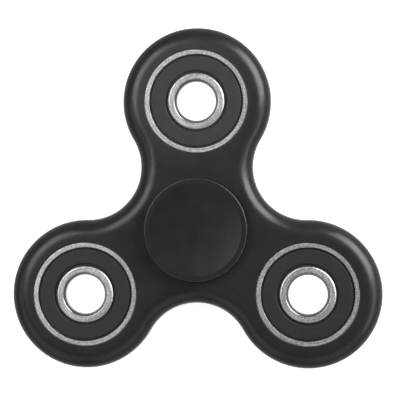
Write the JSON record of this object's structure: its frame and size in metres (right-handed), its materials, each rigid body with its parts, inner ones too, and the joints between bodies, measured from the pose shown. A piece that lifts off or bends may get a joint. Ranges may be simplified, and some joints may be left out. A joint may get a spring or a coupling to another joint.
{
  "type": "fidget spinner",
  "caption": "Flat tri-lobed fidget spinner: a black moulded body with rounded edges turns on a sealed ball bearing between dished finger caps, with open-bore bearings in its lobes.",
  "frame": {"origin": "on the spin axis, half-way up the body, which is the centre of mass", "axes": "+Z is the spin axis and points up out of the upper cap; lobe 1 points along +Y, lobes 2 and 3 follow anticlockwise seen from above"},
  "size_m": [0.079, 0.0727, 0.012],
  "materials": {
    "body_plastic": "satin black moulded plastic",
    "cap_plastic": "fine matt black moulded plastic",
    "ring_steel": "ground and turned bearing steel",
    "ball_steel": "polished bearing balls",
    "seal_rubber": "moulded dark grey rubber over a steel washer",
    "cage_nylon": "natural nylon"
  },
  "bodies": {
    "hub": {"finger_cap_upper": "cap_plastic", "finger_cap_lower": "cap_plastic", "center_inner_ring": "ring_steel"},
    "spinner": {"spinner_body": "body_plastic", "center_outer_ring": "ring_steel", "center_seal_upper": "seal_rubber", "center_seal_lower": "seal_rubber", "lobe_1_outer_ring": "ring_steel", "lobe_1_seal_upper": "seal_rubber", "lobe_1_seal_lower": "seal_rubber", "lobe_2_outer_ring": "ring_steel", "lobe_2_seal_upper": "seal_rubber", "lobe_2_seal_lower": "seal_rubber", "lobe_3_outer_ring": "ring_steel", "lobe_3_seal_upper": "seal_rubber", "lobe_3_seal_lower": "seal_rubber"},
    "lobe_1_inner": {"lobe_1_inner_ring": "ring_steel"},
    "lobe_2_inner": {"lobe_2_inner_ring": "ring_steel"},
    "lobe_3_inner": {"lobe_3_inner_ring": "ring_steel"},
    "center_cage": {"center_ball_cage": "cage_nylon"},
    "center_ball_1": {"center_ball_1": "ball_steel"},
    "center_ball_2": {"center_ball_2": "ball_steel"},
    "center_ball_3": {"center_ball_3": "ball_steel"},
    "center_ball_4": {"center_ball_4": "ball_steel"},
    "center_ball_5": {"center_ball_5": "ball_steel"},
    "center_ball_6": {"center_ball_6": "ball_steel"},
    "center_ball_7": {"center_ball_7": "ball_steel"},
    "lobe_1_cage": {"lobe_1_ball_cage": "cage_nylon"},
    "lobe_1_ball_1": {"lobe_1_ball_1": "ball_steel"},
    "lobe_1_ball_2": {"lobe_1_ball_2": "ball_steel"},
    "lobe_1_ball_3": {"lobe_1_ball_3": "ball_steel"},
    "lobe_1_ball_4": {"lobe_1_ball_4": "ball_steel"},
    "lobe_1_ball_5": {"lobe_1_ball_5": "ball_steel"},
    "lobe_1_ball_6": {"lobe_1_ball_6": "ball_steel"},
    "lobe_1_ball_7": {"lobe_1_ball_7": "ball_steel"},
    "lobe_2_cage": {"lobe_2_ball_cage": "cage_nylon"},
    "lobe_2_ball_1": {"lobe_2_ball_1": "ball_steel"},
    "lobe_2_ball_2": {"lobe_2_ball_2": "ball_steel"},
    "lobe_2_ball_3": {"lobe_2_ball_3": "ball_steel"},
    "lobe_2_ball_4": {"lobe_2_ball_4": "ball_steel"},
    "lobe_2_ball_5": {"lobe_2_ball_5": "ball_steel"},
    "lobe_2_ball_6": {"lobe_2_ball_6": "ball_steel"},
    "lobe_2_ball_7": {"lobe_2_ball_7": "ball_steel"},
    "lobe_3_cage": {"lobe_3_ball_cage": "cage_nylon"},
    "lobe_3_ball_1": {"lobe_3_ball_1": "ball_steel"},
    "lobe_3_ball_2": {"lobe_3_ball_2": "ball_steel"},
    "lobe_3_ball_3": {"lobe_3_ball_3": "ball_steel"},
    "lobe_3_ball_4": {"lobe_3_ball_4": "ball_steel"},
    "lobe_3_ball_5": {"lobe_3_ball_5": "ball_steel"},
    "lobe_3_ball_6": {"lobe_3_ball_6": "ball_steel"},
    "lobe_3_ball_7": {"lobe_3_ball_7": "ball_steel"}
  },
  "joints": [
    {"name": "spinner_spin", "type": "hinge", "parent": "hub", "child": "spinner", "pos_m": [0, 0, 0], "axis": [0, 0, 1], "continuous": true},
    {"name": "lobe_1_inner_spin", "type": "hinge", "parent": "spinner", "child": "lobe_1_inner", "pos_m": [0, 0.0274, 0], "axis": [0, 0, 1], "continuous": true},
    {"name": "lobe_2_inner_spin", "type": "hinge", "parent": "spinner", "child": "lobe_2_inner", "pos_m": [-0.02373, -0.0137, 0], "axis": [0, 0, 1], "continuous": true},
    {"name": "lobe_3_inner_spin", "type": "hinge", "parent": "spinner", "child": "lobe_3_inner", "pos_m": [0.02373, -0.0137, 0], "axis": [0, 0, 1], "continuous": true},
    {"name": "center_cage_orbit", "type": "hinge", "parent": "hub", "child": "center_cage", "pos_m": [0, 0, 0], "axis": [0, 0, 1], "continuous": true},
    {"name": "center_ball_1_roll", "type": "hinge", "parent": "center_cage", "child": "center_ball_1", "pos_m": [0.0075, 0, 0], "axis": [0, 0, 1], "continuous": true},
    {"name": "center_ball_2_roll", "type": "hinge", "parent": "center_cage", "child": "center_ball_2", "pos_m": [0.00468, 0.00586, 0], "axis": [0, 0, 1], "continuous": true},
    {"name": "center_ball_3_roll", "type": "hinge", "parent": "center_cage", "child": "center_ball_3", "pos_m": [-0.00167, 0.00731, 0], "axis": [0, 0, 1], "continuous": true},
    {"name": "center_ball_4_roll", "type": "hinge", "parent": "center_cage", "child": "center_ball_4", "pos_m": [-0.00676, 0.00325, 0], "axis": [0, 0, 1], "continuous": true},
    {"name": "center_ball_5_roll", "type": "hinge", "parent": "center_cage", "child": "center_ball_5", "pos_m": [-0.00676, -0.00325, 0], "axis": [0, 0, 1], "continuous": true},
    {"name": "center_ball_6_roll", "type": "hinge", "parent": "center_cage", "child": "center_ball_6", "pos_m": [-0.00167, -0.00731, 0], "axis": [0, 0, 1], "continuous": true},
    {"name": "center_ball_7_roll", "type": "hinge", "parent": "center_cage", "child": "center_ball_7", "pos_m": [0.00468, -0.00586, 0], "axis": [0, 0, 1], "continuous": true},
    {"name": "lobe_1_cage_orbit", "type": "hinge", "parent": "spinner", "child": "lobe_1_cage", "pos_m": [0, 0.0274, 0], "axis": [0, 0, 1], "continuous": true},
    {"name": "lobe_1_ball_1_roll", "type": "hinge", "parent": "lobe_1_cage", "child": "lobe_1_ball_1", "pos_m": [0.0075, 0.0274, 0], "axis": [0, 0, 1], "continuous": true},
    {"name": "lobe_1_ball_2_roll", "type": "hinge", "parent": "lobe_1_cage", "child": "lobe_1_ball_2", "pos_m": [0.00468, 0.03326, 0], "axis": [0, 0, 1], "continuous": true},
    {"name": "lobe_1_ball_3_roll", "type": "hinge", "parent": "lobe_1_cage", "child": "lobe_1_ball_3", "pos_m": [-0.00167, 0.03471, 0], "axis": [0, 0, 1], "continuous": true},
    {"name": "lobe_1_ball_4_roll", "type": "hinge", "parent": "lobe_1_cage", "child": "lobe_1_ball_4", "pos_m": [-0.00676, 0.03065, 0], "axis": [0, 0, 1], "continuous": true},
    {"name": "lobe_1_ball_5_roll", "type": "hinge", "parent": "lobe_1_cage", "child": "lobe_1_ball_5", "pos_m": [-0.00676, 0.02415, 0], "axis": [0, 0, 1], "continuous": true},
    {"name": "lobe_1_ball_6_roll", "type": "hinge", "parent": "lobe_1_cage", "child": "lobe_1_ball_6", "pos_m": [-0.00167, 0.02009, 0], "axis": [0, 0, 1], "continuous": true},
    {"name": "lobe_1_ball_7_roll", "type": "hinge", "parent": "lobe_1_cage", "child": "lobe_1_ball_7", "pos_m": [0.00468, 0.02154, 0], "axis": [0, 0, 1], "continuous": true},
    {"name": "lobe_2_cage_orbit", "type": "hinge", "parent": "spinner", "child": "lobe_2_cage", "pos_m": [-0.02373, -0.0137, 0], "axis": [0, 0, 1], "continuous": true},
    {"name": "lobe_2_ball_1_roll", "type": "hinge", "parent": "lobe_2_cage", "child": "lobe_2_ball_1", "pos_m": [-0.01623, -0.0137, 0], "axis": [0, 0, 1], "continuous": true},
    {"name": "lobe_2_ball_2_roll", "type": "hinge", "parent": "lobe_2_cage", "child": "lobe_2_ball_2", "pos_m": [-0.01905, -0.00784, 0], "axis": [0, 0, 1], "continuous": true},
    {"name": "lobe_2_ball_3_roll", "type": "hinge", "parent": "lobe_2_cage", "child": "lobe_2_ball_3", "pos_m": [-0.0254, -0.00639, 0], "axis": [0, 0, 1], "continuous": true},
    {"name": "lobe_2_ball_4_roll", "type": "hinge", "parent": "lobe_2_cage", "child": "lobe_2_ball_4", "pos_m": [-0.03049, -0.01045, 0], "axis": [0, 0, 1], "continuous": true},
    {"name": "lobe_2_ball_5_roll", "type": "hinge", "parent": "lobe_2_cage", "child": "lobe_2_ball_5", "pos_m": [-0.03049, -0.01695, 0], "axis": [0, 0, 1], "continuous": true},
    {"name": "lobe_2_ball_6_roll", "type": "hinge", "parent": "lobe_2_cage", "child": "lobe_2_ball_6", "pos_m": [-0.0254, -0.02101, 0], "axis": [0, 0, 1], "continuous": true},
    {"name": "lobe_2_ball_7_roll", "type": "hinge", "parent": "lobe_2_cage", "child": "lobe_2_ball_7", "pos_m": [-0.01905, -0.01956, 0], "axis": [0, 0, 1], "continuous": true},
    {"name": "lobe_3_cage_orbit", "type": "hinge", "parent": "spinner", "child": "lobe_3_cage", "pos_m": [0.02373, -0.0137, 0], "axis": [0, 0, 1], "continuous": true},
    {"name": "lobe_3_ball_1_roll", "type": "hinge", "parent": "lobe_3_cage", "child": "lobe_3_ball_1", "pos_m": [0.03123, -0.0137, 0], "axis": [0, 0, 1], "continuous": true},
    {"name": "lobe_3_ball_2_roll", "type": "hinge", "parent": "lobe_3_cage", "child": "lobe_3_ball_2", "pos_m": [0.02841, -0.00784, 0], "axis": [0, 0, 1], "continuous": true},
    {"name": "lobe_3_ball_3_roll", "type": "hinge", "parent": "lobe_3_cage", "child": "lobe_3_ball_3", "pos_m": [0.02206, -0.00639, 0], "axis": [0, 0, 1], "continuous": true},
    {"name": "lobe_3_ball_4_roll", "type": "hinge", "parent": "lobe_3_cage", "child": "lobe_3_ball_4", "pos_m": [0.01697, -0.01045, 0], "axis": [0, 0, 1], "continuous": true},
    {"name": "lobe_3_ball_5_roll", "type": "hinge", "parent": "lobe_3_cage", "child": "lobe_3_ball_5", "pos_m": [0.01697, -0.01695, 0], "axis": [0, 0, 1], "continuous": true},
    {"name": "lobe_3_ball_6_roll", "type": "hinge", "parent": "lobe_3_cage", "child": "lobe_3_ball_6", "pos_m": [0.02206, -0.02101, 0], "axis": [0, 0, 1], "continuous": true},
    {"name": "lobe_3_ball_7_roll", "type": "hinge", "parent": "lobe_3_cage", "child": "lobe_3_ball_7", "pos_m": [0.02841, -0.01956, 0], "axis": [0, 0, 1], "continuous": true}
  ],
  "couplings": [
    {"joint": "center_cage_orbit", "follows": "spinner_spin", "ratio": 0.6323},
    {"joint": "center_ball_1_roll", "follows": "spinner_spin", "ratio": 1.7573},
    {"joint": "center_ball_2_roll", "follows": "spinner_spin", "ratio": 1.7573},
    {"joint": "center_ball_3_roll", "follows": "spinner_spin", "ratio": 1.7573},
    {"joint": "center_ball_4_roll", "follows": "spinner_spin", "ratio": 1.7573},
    {"joint": "center_ball_5_roll", "follows": "spinner_spin", "ratio": 1.7573},
    {"joint": "center_ball_6_roll", "follows": "spinner_spin", "ratio": 1.7573},
    {"joint": "center_ball_7_roll", "follows": "spinner_spin", "ratio": 1.7573},
    {"joint": "lobe_1_cage_orbit", "follows": "lobe_1_inner_spin", "ratio": 0.3677},
    {"joint": "lobe_1_ball_1_roll", "follows": "lobe_1_inner_spin", "ratio": -1.7573},
    {"joint": "lobe_1_ball_2_roll", "follows": "lobe_1_inner_spin", "ratio": -1.7573},
    {"joint": "lobe_1_ball_3_roll", "follows": "lobe_1_inner_spin", "ratio": -1.7573},
    {"joint": "lobe_1_ball_4_roll", "follows": "lobe_1_inner_spin", "ratio": -1.7573},
    {"joint": "lobe_1_ball_5_roll", "follows": "lobe_1_inner_spin", "ratio": -1.7573},
    {"joint": "lobe_1_ball_6_roll", "follows": "lobe_1_inner_spin", "ratio": -1.7573},
    {"joint": "lobe_1_ball_7_roll", "follows": "lobe_1_inner_spin", "ratio": -1.7573},
    {"joint": "lobe_2_cage_orbit", "follows": "lobe_2_inner_spin", "ratio": 0.3677},
    {"joint": "lobe_2_ball_1_roll", "follows": "lobe_2_inner_spin", "ratio": -1.7573},
    {"joint": "lobe_2_ball_2_roll", "follows": "lobe_2_inner_spin", "ratio": -1.7573},
    {"joint": "lobe_2_ball_3_roll", "follows": "lobe_2_inner_spin", "ratio": -1.7573},
    {"joint": "lobe_2_ball_4_roll", "follows": "lobe_2_inner_spin", "ratio": -1.7573},
    {"joint": "lobe_2_ball_5_roll", "follows": "lobe_2_inner_spin", "ratio": -1.7573},
    {"joint": "lobe_2_ball_6_roll", "follows": "lobe_2_inner_spin", "ratio": -1.7573},
    {"joint": "lobe_2_ball_7_roll", "follows": "lobe_2_inner_spin", "ratio": -1.7573},
    {"joint": "lobe_3_cage_orbit", "follows": "lobe_3_inner_spin", "ratio": 0.3677},
    {"joint": "lobe_3_ball_1_roll", "follows": "lobe_3_inner_spin", "ratio": -1.7573},
    {"joint": "lobe_3_ball_2_roll", "follows": "lobe_3_inner_spin", "ratio": -1.7573},
    {"joint": "lobe_3_ball_3_roll", "follows": "lobe_3_inner_spin", "ratio": -1.7573},
    {"joint": "lobe_3_ball_4_roll", "follows": "lobe_3_inner_spin", "ratio": -1.7573},
    {"joint": "lobe_3_ball_5_roll", "follows": "lobe_3_inner_spin", "ratio": -1.7573},
    {"joint": "lobe_3_ball_6_roll", "follows": "lobe_3_inner_spin", "ratio": -1.7573},
    {"joint": "lobe_3_ball_7_roll", "follows": "lobe_3_inner_spin", "ratio": -1.7573}
  ]
}
